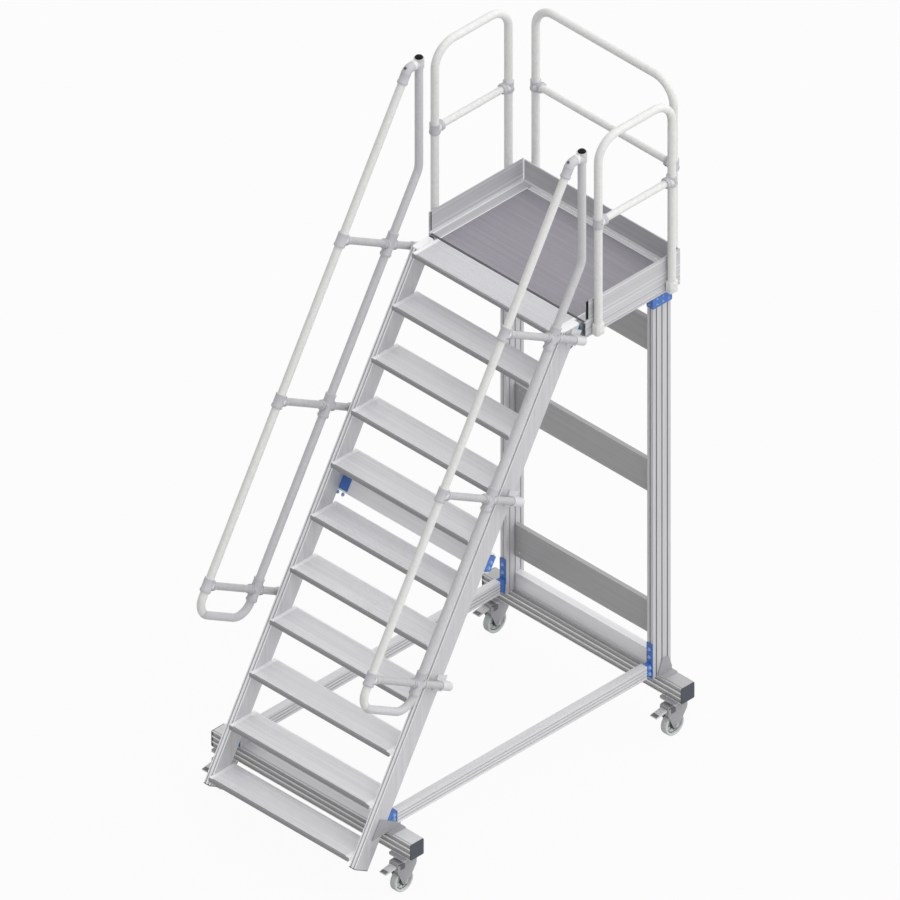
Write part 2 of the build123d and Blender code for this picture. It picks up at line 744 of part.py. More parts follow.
for name, (x, y) in caster_places.items():
    wheel_y = y - trail
    with BuildPart() as fork:
        with BuildSketch(Plane.XY.offset(race_low)):
            with Locations((x, y)):
                Circle(race_r)
        extrude(amount=race_tall)
        with BuildSketch(Plane.XY.offset(crown_low)):
            with Locations((x, y)):
                Circle(race_r)
            with Locations((x, y + (crown_back - crown_front) / 2)):
                Rectangle(2 * (leg_in + fork_thick), crown_back + crown_front)
        extrude(amount=crown_tall)
        with BuildSketch(Plane.XY.offset(crown_low - apron_tall)):
            with Locations((x, y - crown_front + fork_thick / 2)):
                Rectangle(2 * (leg_in + fork_thick), fork_thick)
        extrude(amount=apron_tall)
        for hand in sides.values():
            leg_x = x + hand * leg_in + (0 if hand > 0 else -fork_thick)
            with BuildSketch(Plane.YZ.offset(leg_x)):
                Polygon(
                    (y + crown_back, crown_low + crown_tall),
                    (y + crown_back, crown_low - apron_tall),
                    (wheel_y + leg_foot, wheel_r),
                    (wheel_y + leg_foot / 2, wheel_r - leg_toe),
                    (wheel_y - leg_foot / 2, wheel_r - leg_toe),
                    (wheel_y - leg_foot, wheel_r),
                    (y - crown_front, crown_low - apron_tall),
                    (y - crown_front, crown_low + crown_tall),
                    align=None,
                )
            extrude(amount=fork_thick)
        with BuildSketch(Plane.YZ.offset(x - leg_in - fork_thick - axle_head)):
            with Locations((wheel_y, wheel_r)):
                Circle(axle_head_r)
        extrude(amount=axle_head)
        with BuildSketch(Plane.YZ.offset(x + leg_in + fork_thick)):
            with Locations((wheel_y, wheel_r)):
                Circle(axle_head_r)
        extrude(amount=axle_head)
        with BuildSketch(Plane.YZ.offset(x - leg_in)):
            with Locations((wheel_y, wheel_r)):
                Circle(axle_r)
        extrude(amount=2 * leg_in)
        pedal_tip = y - pedal_reach
        pedal_root = y - crown_front
        with BuildSketch(Plane.YZ.offset(x - pedal_wide / 2)):
            Polygon(
                (pedal_root, crown_low),
                (pedal_root, crown_low - 2 * pedal_thick),
                (pedal_tip, crown_low - 3 * pedal_thick),
                (pedal_tip, crown_low - 2 * pedal_thick),
                align=None,
            )
        extrude(amount=pedal_wide)
    save(fork.part, "caster_fork_" + name)
    with BuildPart() as tyre:
        with BuildSketch(Plane.YZ.offset(x - wheel_wide / 2)):
            with Locations((wheel_y, wheel_r)):
                Circle(wheel_r)
                Circle(wheel_r - tread_band, mode=Mode.SUBTRACT)
        extrude(amount=wheel_wide)
    save(tyre.part, "caster_tyre_" + name)
    with BuildPart() as wheel_body:
        with BuildSketch(Plane.YZ.offset(x - wheel_wide / 4)):
            with Locations((wheel_y, wheel_r)):
                Circle(wheel_r - tread_band)
                Circle(hub_r, mode=Mode.SUBTRACT)
        extrude(amount=wheel_wide / 2)
        with BuildSketch(Plane.YZ.offset(x - wheel_wide / 2 - fork_gap / 2)):
            with Locations((wheel_y, wheel_r)):
                Circle(hub_r)
                Circle(axle_r + run_gap, mode=Mode.SUBTRACT)
        extrude(amount=wheel_wide + fork_gap)
    save(wheel_body.part, "caster_hub_" + name)
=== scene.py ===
import math

import bpy
from mathutils import Matrix, Vector


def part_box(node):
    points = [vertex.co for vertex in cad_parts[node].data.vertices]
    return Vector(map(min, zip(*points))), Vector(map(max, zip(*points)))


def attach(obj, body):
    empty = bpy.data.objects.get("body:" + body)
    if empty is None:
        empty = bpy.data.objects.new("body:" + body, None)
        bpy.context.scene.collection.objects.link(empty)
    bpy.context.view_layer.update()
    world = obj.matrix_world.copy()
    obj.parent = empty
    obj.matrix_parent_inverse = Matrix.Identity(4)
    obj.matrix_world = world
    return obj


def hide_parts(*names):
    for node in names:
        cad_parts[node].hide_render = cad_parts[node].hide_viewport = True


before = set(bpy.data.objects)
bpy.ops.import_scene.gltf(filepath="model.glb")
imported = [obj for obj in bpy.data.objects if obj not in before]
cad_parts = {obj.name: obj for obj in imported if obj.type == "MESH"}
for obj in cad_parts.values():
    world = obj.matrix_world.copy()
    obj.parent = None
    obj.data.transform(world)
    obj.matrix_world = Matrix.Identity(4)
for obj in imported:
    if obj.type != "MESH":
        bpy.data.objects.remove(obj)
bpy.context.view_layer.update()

# The flight's own measures, in metres, as the solids have them
STEPS = 11
RISE = 0.24
SLOPE = math.radians(60)
GOING = RISE / math.tan(SLOPE)
TOP = STEPS * RISE
FRONT_REACH = (STEPS - 1) * GOING
REAR_REACH = 0.8665
NOSE = (FRONT_REACH - REAR_REACH) / 2
SLOPE_UP = Vector((0, math.cos(SLOPE), math.sin(SLOPE)))
SLOPE_OUT = Vector((0, -math.sin(SLOPE), math.cos(SLOPE)))
SIDES = (-1, 1)
SIDE_NAMES = {"left": -1, "right": 1}
UP = (0, 0, 1)
RIGHT = (1, 0, 0)
BACKWARDS = (0, 1, 0)

# Middles and half widths of the profiles
HALF_WIDE = 0.02
STRINGER_X = 0.495
STRINGER_HALF = 0.05
STRINGER_BACK = 0.085
POST_X = 0.5
POST_MIDDLE = NOSE + 0.71
POST_HALF = 0.06
RAIL_MIDDLE_Z = 0.3565
RAIL_HALF = 0.0365
BEAM_MIDDLE = {"front": NOSE - 1.116, "rear": NOSE + 0.728}
BEAM_MIDDLE_Z = 0.257
BEAM_HALF = 0.045

# Turned by this angle about X, the Y coordinate runs square to the slope
SLOPE_TURN = -(math.pi / 2 + SLOPE)
NOSING_LINE = TOP * math.cos(SLOPE) - NOSE * math.sin(SLOPE)


def on_slope(x, q, s):
    """The point at x, q in front of the nosing line and s up the slope from the top nosing."""
    return Vector((x, NOSE, TOP)) + SLOPE_OUT * q + SLOPE_UP * s


# Making tools
BEVEL_ANGLE = math.radians(40)
SMOOTH_ANGLE = math.radians(35)


def choose(*pieces):
    """Selects these pieces and no others, with the first one active."""
    bpy.ops.object.select_all(action="DESELECT")
    for piece in pieces:
        piece.select_set(True)
    bpy.context.view_layer.objects.active = pieces[0]


def settle(piece, name):
    """Puts a piece's place into its mesh, so that its object sits at the origin."""
    choose(piece)
    bpy.ops.object.transform_apply(location=True, rotation=True, scale=True)
    piece.name = name
    return piece


def block(name, low, high):
    """A plain block from its lowest to its highest corner, to be shaped."""
    middle = [(a + b) / 2 for a, b in zip(low, high)]
    bpy.ops.mesh.primitive_cube_add(size=1, location=middle)
    piece = bpy.context.object
    piece.scale = [b - a for a, b in zip(low, high)]
    return settle(piece, name)


def round_bar(name, radius, low, high, sides=40):
    """A plain bar round the Z axis, from low to high, to be shaped."""
    middle = (0, 0, (low + high) / 2)
    bpy.ops.mesh.primitive_cylinder_add(vertices=sides, radius=radius, depth=high - low, location=middle)
    return settle(bpy.context.object, name)


def apply_all(piece):
    choose(piece)
    for modifier in list(piece.modifiers):
        bpy.ops.object.modifier_apply(modifier=modifier.name)
    return piece


def soften(piece, width, segments=2):
    """Bevels the piece's sharp edges."""
    edge = piece.modifiers.new("edge", "BEVEL")
    edge.width = width
    edge.segments = segments
    edge.limit_method = "ANGLE"
    edge.angle_limit = BEVEL_ANGLE
    return apply_all(piece)


def smooth(piece):
    choose(piece)
    bpy.ops.object.shade_smooth_by_angle(angle=SMOOTH_ANGLE)
    return piece


def repeat(piece, count, step):
    rows = piece.modifiers.new("rows", "ARRAY")
    rows.count = count
    rows.use_relative_offset = False
    rows.use_constant_offset = True
    rows.constant_offset_displace = step
    return apply_all(piece)


def join(pieces, name):
    choose(*pieces)
    if len(pieces) > 1:
        bpy.ops.object.join()
    pieces[0].name = name
    return pieces[0]


def copy_to(piece, name, move):
    """A copy with its own mesh, moved or turned by a matrix."""
    twin = piece.copy()
    twin.data = piece.data.copy()
    twin.data.transform(move)
    twin.name = name
    bpy.context.scene.collection.objects.link(twin)
    return twin


def remove(*patterns):
    for pattern in patterns:
        bpy.data.objects.remove(pattern)


def dress(piece, finish):
    piece.data.materials.clear()
    piece.data.materials.append(finish)
    return piece


def fit(piece, body, slot, *nodes):
    """Sets the piece on its body and hides the nodes that it stands for; the slot is not used."""
    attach(piece, body)
    if nodes:
        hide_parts(*nodes)
    return piece


def looking(axis, sign=1, least=0.9):
    """A test that a face looks along an axis, 0 for X to 2 for Z, or against it."""
    return lambda face: face.normal[axis] * sign > least


def select_faces(piece, test):
    """Edit mode on the piece with only the faces that pass the test selected."""
    choose(piece)
    for face in piece.data.polygons:
        face.select = test(face)
    for edge in piece.data.edges:
        edge.select = False
    for vertex in piece.data.vertices:
        vertex.select = False
    for face in piece.data.polygons:
        if face.select:
            for vertex in face.vertices:
                piece.data.vertices[vertex].select = True
    bpy.ops.object.mode_set(mode="EDIT")
    bpy.ops.mesh.select_mode(type="FACE")


def leave_edit():
    bpy.ops.object.mode_set(mode="OBJECT")


def push(way):
    """In edit mode, extrudes the selected faces by a vector."""
    bpy.ops.mesh.extrude_region_move(TRANSFORM_OT_translate={"value": way})


def turn_outwards():
    """In edit mode, makes all faces point outwards."""
    bpy.ops.mesh.select_all(action="SELECT")
    bpy.ops.mesh.normals_make_consistent(inside=False)


def shape_faces(piece, test, *steps):
    """Insets the faces that pass the test and pushes them out or in, once for each step."""
    select_faces(piece, test)
    for width, way in steps:
        bpy.ops.mesh.inset(thickness=width, depth=0)
        push(way)
    leave_edit()
    return piece


def sunk_screw(radius, tall, wall, deep, sides, finish):
    """A round screw head that stands on the origin, with a sunk middle."""
    screw = round_bar("screw", radius, 0, tall, sides)
    return dress(shape_faces(screw, looking(2), (wall, (0, 0, -deep))), finish)


def profile_plate(name, outline, low_x, high_x):
    """A plate whose outline lies in Y and Z, from low_x to high_x."""
    bpy.ops.mesh.primitive_circle_add(vertices=len(outline), fill_type="NGON")
    plate = settle(bpy.context.object, name)
    for vertex, (y, z) in zip(plate.data.vertices, outline):
        vertex.co = (low_x, y, z)
    select_faces(plate, lambda face: True)
    push((high_x - low_x, 0, 0))
    turn_outwards()
    leave_edit()
    return plate


def rounded(corners, radius, steps=5):
    """The outline with each corner rounded by an arc-like run of points."""
    most_of_a_side = 0.45
    points = []
    for i, corner in enumerate(corners):
        here = Vector(corner)
        before = Vector(corners[i - 1]) - here
        after = Vector(corners[(i + 1) % len(corners)]) - here
        reach = min(radius, before.length * most_of_a_side, after.length * most_of_a_side)
        start = here + before.normalized() * reach
        end = here + after.normalized() * reach
        for step in range(steps + 1):
            share = step / steps
            points.append(tuple(start.lerp(here, share).lerp(here.lerp(end, share), share)))
    return points


def facing(place, direction):
    """The matrix that stands a bolt at place with its head towards direction."""
    turn = Vector(direction).to_track_quat("Z", "Y").to_matrix().to_4x4()
    return Matrix.Translation(Vector(place)) @ turn


def stand(place, up, out):
    """The matrix that sets Z along up and X as near to out as it can be, at place."""
    up = Vector(up).normalized()
    across = up.cross(Vector(out)).normalized()
    out = across.cross(up)
    turn = Matrix((out, across, up)).transposed().to_4x4()
    return Matrix.Translation(Vector(place)) @ turn


# Tools for the finishes. A pattern has a size and a detail, a relief a strength and a depth
DIE_LINES = (60.0, 4.0)
LINE_RELIEF = (0.15, 0.0004)
SKIN = (900.0, 2.0)
SKIN_RELIEF = (0.2, 0.0002)
CLOUD = (6.0, 3.0)
GRAIN_SPAN = (0.3, 0.7)


def feed(owner, socket, value):
    """Links another node's output to the socket, or gives the socket a plain value."""
    if isinstance(value, bpy.types.NodeSocket):
        owner.node_tree.links.new(value, socket)
    else:
        socket.default_value = value


def add_node(owner, kind, inputs, **settings):
    """A new node with its settings, and a value or a link for each input that is given."""
    node = owner.node_tree.nodes.new(kind)
    for name, value in settings.items():
        setattr(node, name, value)
    for name, value in inputs.items():
        feed(owner, node.inputs[name], value)
    return node


def calculate(owner, operation, *values):
    """The result of one sum or test on the values."""
    inputs = dict(enumerate(values))
    return add_node(owner, "ShaderNodeMath", inputs, operation=operation).outputs["Value"]


def shader_of(finish):
    return finish.node_tree.nodes["Principled BSDF"]


def new_finish(name, metal, rough):
    finish = bpy.data.materials.new(name)
    finish.use_nodes = True
    shader_of(finish).inputs["Metallic"].default_value = metal
    shader_of(finish).inputs["Roughness"].default_value = rough
    return finish


def own_place(finish):
    """The object's own coordinates."""
    return add_node(finish, "ShaderNodeTexCoord", {}).outputs["Object"]


def grain(finish, stretch, size, detail):
    """Noise that is drawn out along an axis by a small stretch there."""
    mapping = add_node(finish, "ShaderNodeMapping", {"Scale": stretch, "Vector": own_place(finish)})
    inputs = {"Scale": size, "Detail": detail, "Vector": mapping.outputs["Vector"]}
    return add_node(finish, "ShaderNodeTexNoise", inputs).outputs["Fac"]


def tint(finish, value, colours):
    """The base colour runs from the dark to the light colour with a grain value."""
    ramp = add_node(finish, "ShaderNodeValToRGB", {"Fac": value})
    for element, position, colour in zip(ramp.color_ramp.elements, GRAIN_SPAN, colours):
        element.position = position
        element.color = (*colour, 1)
    feed(finish, shader_of(finish).inputs["Base Color"], ramp.outputs["Color"])


def vary_rough(finish, value, rough):
    inputs = {"Value": value, "From Min": GRAIN_SPAN[0], "From Max": GRAIN_SPAN[1]}
    inputs.update({"To Min": rough[0], "To Max": rough[1]})
    spread = add_node(finish, "ShaderNodeMapRange", inputs)
    feed(finish, shader_of(finish).inputs["Roughness"], spread.outputs["Result"])


def relief(finish, value, strength, depth):
    bump = add_node(finish, "ShaderNodeBump", {"Strength": strength, "Distance": depth, "Height": value})
    feed(finish, shader_of(finish).inputs["Normal"], bump.outputs["Normal"])


def drawn_metal(name, colours, stretch, metal=0.25, rough=(0.38, 0.52)):
    """Extruded or drawn metal with fine die lines along one axis."""
    finish = new_finish(name, metal, rough[0])
    lines = grain(finish, stretch, *DIE_LINES)
    tint(finish, lines, colours)
    vary_rough(finish, lines, rough)
    relief(finish, lines, *LINE_RELIEF)
    return finish


def coated(name, colours, rough=(0.42, 0.55), metal=0.0):
    """Powder coat, cast metal or moulded plastic with an even fine skin."""
    finish = new_finish(name, metal, rough[0])
    cloud = grain(finish, ALL_WAYS, *CLOUD)
    tint(finish, cloud, colours)
    vary_rough(finish, cloud, rough)
    relief(finish, grain(finish, ALL_WAYS, *SKIN), *SKIN_RELIEF)
    return finish


def dull(finish, level):
    """A weaker sheen, set on the shader itself."""
    shader_of(finish).inputs["Specular IOR Level"].default_value = level
    return finish


def coordinate(finish, axis, turn=0.0, mirrored=False):
    """One of the object's coordinates, turned about X and perhaps the same on both sides."""
    inputs = {"Rotation": (turn, 0, 0), "Vector": own_place(finish)}
    mapping = add_node(finish, "ShaderNodeMapping", inputs)
    parts = add_node(finish, "ShaderNodeSeparateXYZ", {"Vector": mapping.outputs["Vector"]})
    value = parts.outputs[axis]
    return calculate(finish, "ABSOLUTE", value) if mirrored else value


def above(finish, axis, limit, turn=0.0):
    """A mask that is 1 where a coordinate is over the limit."""
    return calculate(finish, "GREATER_THAN", coordinate(finish, axis, turn), limit)


def below(finish, axis, limit, turn=0.0, mirrored=False):
    """A mask that is 1 where a coordinate is under the limit."""
    return calculate(finish, "LESS_THAN", coordinate(finish, axis, turn, mirrored), limit)


def near(finish, axis, middle, reach):
    """A mask that is 1 where a coordinate is within reach of the middle."""
    return calculate(finish, "COMPARE", coordinate(finish, axis), middle, reach)


def recolour(finish, mask, colour, blend="MIX"):
    """Where the mask is 1, the base colour becomes the given one."""
    base = shader_of(finish).inputs["Base Color"]
    inputs = {"Factor": mask, "A": base.links[0].from_socket, "B": (*colour, 1)}
    mix = add_node(finish, "ShaderNodeMix", inputs, data_type="RGBA", blend_type=blend)
    feed(finish, base, mix.outputs["Result"])


def scale_colour(finish, mask, factors):
    """Where the mask is 1, the base colour is multiplied by the factors."""
    recolour(finish, mask, factors, "MULTIPLY")


def share_of_half(finish, axis, middle, half, turn=0.0, mirrored=False):
    """How far a point lies from a section's middle, as a share of half its width."""
    offset = calculate(finish, "SUBTRACT", coordinate(finish, axis, turn, mirrored), middle)
    return calculate(finish, "DIVIDE", calculate(finish, "ABSOLUTE", offset), half)


def groove_shaded_metal(name, colours, stretch, spans, dark, share=0.96):
    """Drawn metal with painted shade where it lies deeper in its section than a share of its half widths,
    down in its grooves.
    """
    finish = drawn_metal(name, colours, stretch)
    first, second = (share_of_half(finish, *span) for span in spans)
    outer = calculate(finish, "MAXIMUM", first, second)
    # Painted shade in the grooves, where the section lies deeper
    recolour(finish, calculate(finish, "LESS_THAN", outer, share), dark)
    return finish


def grey(level, blue=0.0):
    """A grey with this much more blue."""
    return (level, level, level + blue)


def greys(low, high, blue=0.0):
    """The dark and the light colour of a grey finish."""
    return (grey(low, blue), grey(high, blue))


# Finishes
ALONG_X = (0.02, 1, 1)
ALONG_Y = (1, 0.02, 1)
ALONG_Z = (1, 1, 0.02)
ALL_WAYS = (1, 1, 1)
SATIN = greys(0.545, 0.63, 0.02)
TUBE = greys(0.73, 0.80, -0.01)

# Roughness, from the smoothest to the dullest spots of a finish
BRIGHT = (0.25, 0.4)
POLISHED = (0.34, 0.46)
TURNED = (0.35, 0.5)
CAST = (0.4, 0.5)
BLASTED = (0.42, 0.54)
MOULDED = (0.45, 0.6)
MATT = (0.5, 0.65)
RUBBERY = (0.6, 0.75)


def make_stringer_finish():
    """Grooved satin profile with painted shade in its grooves and a bright front face."""
    middle = NOSING_LINE - STRINGER_BACK
    spans = (("X", STRINGER_X, HALF_WIDE, 0, True), ("Y", middle, STRINGER_HALF, SLOPE_TURN))
    finish = groove_shaded_metal("satin_stringer_aluminium", SATIN, ALONG_Z, spans, grey(0.53, 0.01))
    face_skin = 0.0008
    front = above(finish, "Y", middle + STRINGER_HALF - face_skin, SLOPE_TURN)
    recolour(finish, front, grey(0.93, 0.02))
    return finish


def make_post_finish(side, groove_shade):
    spans = (("X", POST_X, HALF_WIDE, 0, True), ("Y", POST_MIDDLE, POST_HALF))
    # Painted shade in the grooves, lighter on the left post than on the right
    dark = grey(groove_shade, groove_shade * 0.03)
    return groove_shaded_metal(side + "_post_aluminium", SATIN, ALONG_Z, spans, dark)


def make_side_rail_finish():
    spans = (("X", POST_X, HALF_WIDE, 0, True), ("Z", RAIL_MIDDLE_Z, RAIL_HALF))
    colours = greys(0.66, 0.75, 0.015)
    # Painted shade in the grooves
    return groove_shaded_metal("side_rail_aluminium", colours, ALONG_Y, spans, grey(0.56, 0.02), 0.93)


def make_beam_finish(end, top_shade):
    """Painted shade in the recessed bands on the sides, and painted shade over the top, deeper on the
    rear beam, with two dark lines near its front edge.
    """
    middle = BEAM_MIDDLE[end]
    spans = (("Y", middle, BEAM_HALF), ("Z", BEAM_MIDDLE_Z, BEAM_HALF))
    # Painted shade for the recessed bands
    band = (0.42, 0.41, 0.41)
    finish = groove_shaded_metal("banded_" + end + "_beam", greys(0.80, 0.88, 0.01), ALONG_X, spans, band)
    # Painted shade over the top, by top_shade
    top_skin = 0.0005
    top = above(finish, "Z", BEAM_MIDDLE_Z + BEAM_HALF - top_skin)
    scale_colour(finish, top, grey(top_shade))
    line_half = 0.0012
    for offset in (0.0375, 0.0335):
        line = near(finish, "Y", middle - offset, line_half)
        scale_colour(finish, calculate(finish, "MULTIPLY", line, top), grey(0.45))
    return finish


def make_tread_finish():
    """Ribbed aluminium, with painted shade on the top tread, which lies open to the light without another
    above it.
    """
    finish = drawn_metal("ribbed_tread_aluminium", greys(0.79, 0.88, 0.02), ALONG_X)
    top_tread = TOP - 0.03
    scale_colour(finish, above(finish, "Z", top_tread), grey(0.84, 0.01))
    return finish


def make_sheet_finish():
    """Dull sheet for the panels, brighter on the toe board, with painted highlights at its two folded
    edges.
    """
    finish = drawn_metal("rolled_sheet", greys(0.385, 0.455, 0.005), ALONG_X, metal=0.1)
    scale_colour(finish, above(finish, "Z", TOP), grey(1.28, 0.02))
    # Painted highlights along the toe board's two folded edges
    edge_half = 0.0035
    for height in (0.004, 0.122):
        scale_colour(finish, near(finish, "Z", TOP + height, edge_half), grey(1.45))
    return finish


def paint_edge_highlights(finish):
    """Paints highlights along the raised edges that run along the platform's sides."""
    edge_half = 0.0042
    for height in (0.108, 0.031, 0.0077, -0.029, -0.066):
        scale_colour(finish, near(finish, "Z", TOP + height, edge_half), grey(1.22))
    return finish


def polished(name, colours):
    return dull(drawn_metal(name, colours, ALL_WAYS, metal=0.06, rough=POLISHED), 0.35)


def make_handrail_finish():
    """Polished tube, darker on the lower run of the loop."""
    finish = polished("polished_handrail", TUBE)
    lower_run = NOSING_LINE + 0.43
    scale_colour(finish, below(finish, "Y", lower_run, SLOPE_TURN), grey(0.76, 0.03))
    return finish


def make_blue_paint():
    """Powder coat on the plates, grey low down on the sides that face inwards."""
    finish = coated("blue_powder_coat", ((0.057, 0.15, 0.455), (0.080, 0.20, 0.55)))
    inner = below(finish, "X", 0.4815, mirrored=True)
    low = below(finish, "Z", 0.36)
    recolour(finish, calculate(finish, "MULTIPLY", inner, low), grey(0.44, 0.02))
    return finish


rail_alu = paint_edge_highlights(drawn_metal("satin_rail_aluminium", SATIN, ALONG_Y))
side_rail_alu = make_side_rail_finish()
post_alu = {side: make_post_finish(side, groove_shade) for side, groove_shade in (("left", 0.46), ("right", 0.28))}
stringer_alu = make_stringer_finish()
cross_alu = drawn_metal("satin_cross_aluminium", greys(0.77, 0.85, 0.02), ALONG_X)
beam_bands = {end: make_beam_finish(end, top_shade_level) for end, top_shade_level in (("front", 0.79), ("rear", 0.56))}
tread_alu = make_tread_finish()
# A bright finish for the tread ends and head caps, and for the strips that paint highlights along the
# deck's edges
flange_and_highlight_alu = drawn_metal("bright_flange_and_highlight_aluminium", ((0.92, 0.92, 0.94), (0.96, 0.96, 0.97)), ALONG_X)
nose_dark = drawn_metal("tread_nose", greys(0.285, 0.345, 0.01), ALONG_X, rough=MATT)
deck_grey = drawn_metal("ribbed_deck_grey", ((0.33, 0.315, 0.36), (0.40, 0.385, 0.43)), ALONG_X)
tube_alu = polished("polished_tube", TUBE)
rail_tube = make_handrail_finish()
strut_alu = polished("satin_strut", greys(0.46, 0.53, 0.01))
cast_alu = coated("cast_fitting", greys(0.64, 0.72, 0.02), CAST, 0.2)
sheet_alu = make_sheet_finish()
toe_alu = paint_edge_highlights(drawn_metal("rolled_toe_sheet", greys(0.525, 0.605, 0.02), ALONG_Y))
blue_paint = make_blue_paint()
painted_bolt = coated("painted_bolt", ((0.24, 0.38, 0.68), (0.32, 0.46, 0.78)), TURNED)
cap_colours = ((0.060, 0.066, 0.086), (0.084, 0.091, 0.114))
cap_plastic = dull(coated("dark_cap_plastic", cap_colours, MOULDED), 0.3)
black_plastic = dull(coated("black_plug_plastic", greys(0.008, 0.016), MATT), 0.1)
angle_grey = coated("grey_angle_paint", greys(0.32, 0.385, 0.02))
zinc = coated("zinc_plate", greys(0.42, 0.50, 0.02), TURNED, 0.3)
pressed_steel = coated("pressed_fork_steel", greys(0.32, 0.39, 0.015), metal=0.15)
pedal_steel = coated("pale_pedal_steel", greys(0.60, 0.68, 0.01), metal=0.15)
axle_steel = coated("axle_head_steel", greys(0.40, 0.48, 0.01), TURNED, 0.2)
wheel_plastic = coated("wheel_centre_plastic", ((0.05, 0.055, 0.06), (0.08, 0.085, 0.09)))
tyre_rubber = coated("grey_tyre_rubber", ((0.56, 0.59, 0.58), (0.64, 0.67, 0.66)), RUBBERY)
fitting_alu = dull(coated("cast_joint_fitting", greys(0.53, 0.605, 0.03), BLASTED, 0.06), 0.35)
gap_shade_dark = dull(coated("painted_gap_shade", greys(0.10, 0.14, 0.005), RUBBERY), 0.2)
dark_metal_and_hole_shade = coated("sunk_screw", greys(0.10, 0.15, 0.01), CAST, 0.3)
bolt_zinc = coated("bolt_zinc", greys(0.66, 0.76, 0.04), BRIGHT, 0.4)

node_finishes = (
    (stringer_alu, ("stringer_left", "stringer_right")),
    (cap_plastic, ("stringer_foot_caps", "beam_end_caps")),
    (flange_and_highlight_alu, ("stringer_head_caps",)),
    (beam_bands["front"], ("front_beam",)),
    (beam_bands["rear"], ("rear_beam",)),
    (side_rail_alu, ("side_rail_left", "side_rail_right")),
    (post_alu["left"], ("rear_post_left",)),
    (post_alu["right"], ("rear_post_right",)),
    (sheet_alu, ("rear_panels", "toe_board_back")),
    (cross_alu, ("rear_sill", "cross_bar", "platform_rail_front", "platform_rail_back")),
    (rail_alu, ("platform_rail_left", "platform_rail_right")),
    (deck_grey, ("platform_deck",)),
    (toe_alu, ("toe_board_left", "toe_board_right")),
    (tube_alu, ("guard_hoop_left", "guard_hoop_right", "guard_hoop_back", "guard_knee_bars")),
    (rail_tube, ("handrail_left", "handrail_right")),
    (strut_alu, ("handrail_struts",)),
    (cast_alu, ("strut_feet",)),
    (black_plastic, ("rail_plugs",)),
    (blue_paint, ("stringer_plates", "post_plates")),
    (angle_grey, ("beam_angles",)),
    (zinc, ("caster_plates",)),
)
for finish, names in node_finishes:
    for name in names:
        dress(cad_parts[name], finish)
CORNERS = [(end, label) for end in BEAM_MIDDLE for label in SIDE_NAMES]
for end, label in CORNERS:
    for piece_name, finish in (("fork", zinc), ("tyre", tyre_rubber), ("hub", wheel_plastic)):
        dress(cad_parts[f"caster_{piece_name}_{end}_{label}"], finish)

# Treads: a rounded board with fine ribs, a dark nose and bright ends, made once and copied
TREAD_DEEP = 0.176
TREAD_HALF = 0.475
TREAD_LIP = 0.024
TREAD_FLANGE = 0.022
NOSE_DEEP = 0.012
NOSE_DROP = 0.001
TREAD_PITCH = 0.0082
DECK_PITCH = 0.0092
RIB_TALL = 0.0012
RIB_START_SHARE = 0.2
RIB_END_SHARE = 0.75


def ribbed_board(name, low, high, pitch, finish):
    """A board whose top has ribs along X, with the ribs' tops at the board's top."""
    board = dress(soften(block(name, low, (high[0], high[1], high[2] - RIB_TALL)), 0.001), finish)
    rib_low = (low[0], low[1] + pitch * RIB_START_SHARE, high[2] - 2 * RIB_TALL)
    rib_high = (high[0], low[1] + pitch * RIB_END_SHARE, high[2])
    rib = dress(soften(block("rib", rib_low, rib_high), 0.0004, 1), finish)
    repeat(rib, int((high[1] - low[1]) / pitch), (0, pitch, 0))
    return join([board, rib], name)


def make_tread():
    """One tread with its nosing at the origin."""
    inside = TREAD_HALF - TREAD_FLANGE
    board_low = (-inside, NOSE_DEEP, -TREAD_LIP)
    board = ribbed_board("tread", board_low, (inside, TREAD_DEEP, 0), TREAD_PITCH, tread_alu)
    nose = block("nose", (-TREAD_HALF, 0, -TREAD_LIP), (TREAD_HALF, NOSE_DEEP, -NOSE_DROP))
    dress(soften(nose, 0.003, 3), nose_dark)
    ends = []
    for side in SIDES:
        across = sorted((side * inside, side * TREAD_HALF))
        end = block("end", (across[0], NOSE_DEEP / 2, -TREAD_LIP), (across[1], TREAD_DEEP, 0))
        ends.append(dress(soften(end, 0.0015), flange_and_highlight_alu))
    return join([board, nose] + ends, "tread")


tread = make_tread()
for number in range(1, STEPS + 1):
    place = Vector((0, NOSE - (STEPS - number) * GOING, number * RISE))
    step = copy_to(tread, f"ribbed_tread_{number:02d}", Matrix.Translation(place))
    fit(step, "frame", "tread", f"tread_{number:02d}")
remove(tread)

# Deck: planks with fine ribs, laid without gaps
deck = ribbed_board("deck_planks", *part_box("platform_deck"), DECK_PITCH, deck_grey)
fit(deck, "frame", "deck", "platform_deck")

# Trim of the deck: a dark sheet of painted shade over the gap in front of it, and bright strips of
# painted highlight along its edges. Spans run along Y from the top nosing, and up from the platform's
# level
DECK_FRONT = 0.1885
DECK_BACK = 0.781
GAP_FRONT = 0.1765
GAP_SHADE_HALF = 0.467
GAP_TOP_HALF = 0.523
INNER_EDGE = (0.464, 0.470)
INNER_EDGE_UP = (-0.0005, 0.0012)
OUTER_EDGE = (0.517, 0.5232)
OUTER_EDGE_UP = (-0.0001, 0.0035)
BACK_EDGE_HALF = 0.495
BOARD_END = 0.1772
BOARD_END_THICK = 0.0015


def strip(name, across, along, up, width, segments=1):
    """A softened bar over three spans."""
    low = (across[0], NOSE + along[0], TOP + up[0])
    high = (across[1], NOSE + along[1], TOP + up[1])
    return soften(block(name, low, high), width, segments)


def both_sides(span):
    """The span's mirror image on the left, and the span."""
    return ((-span[1], -span[0]), span)


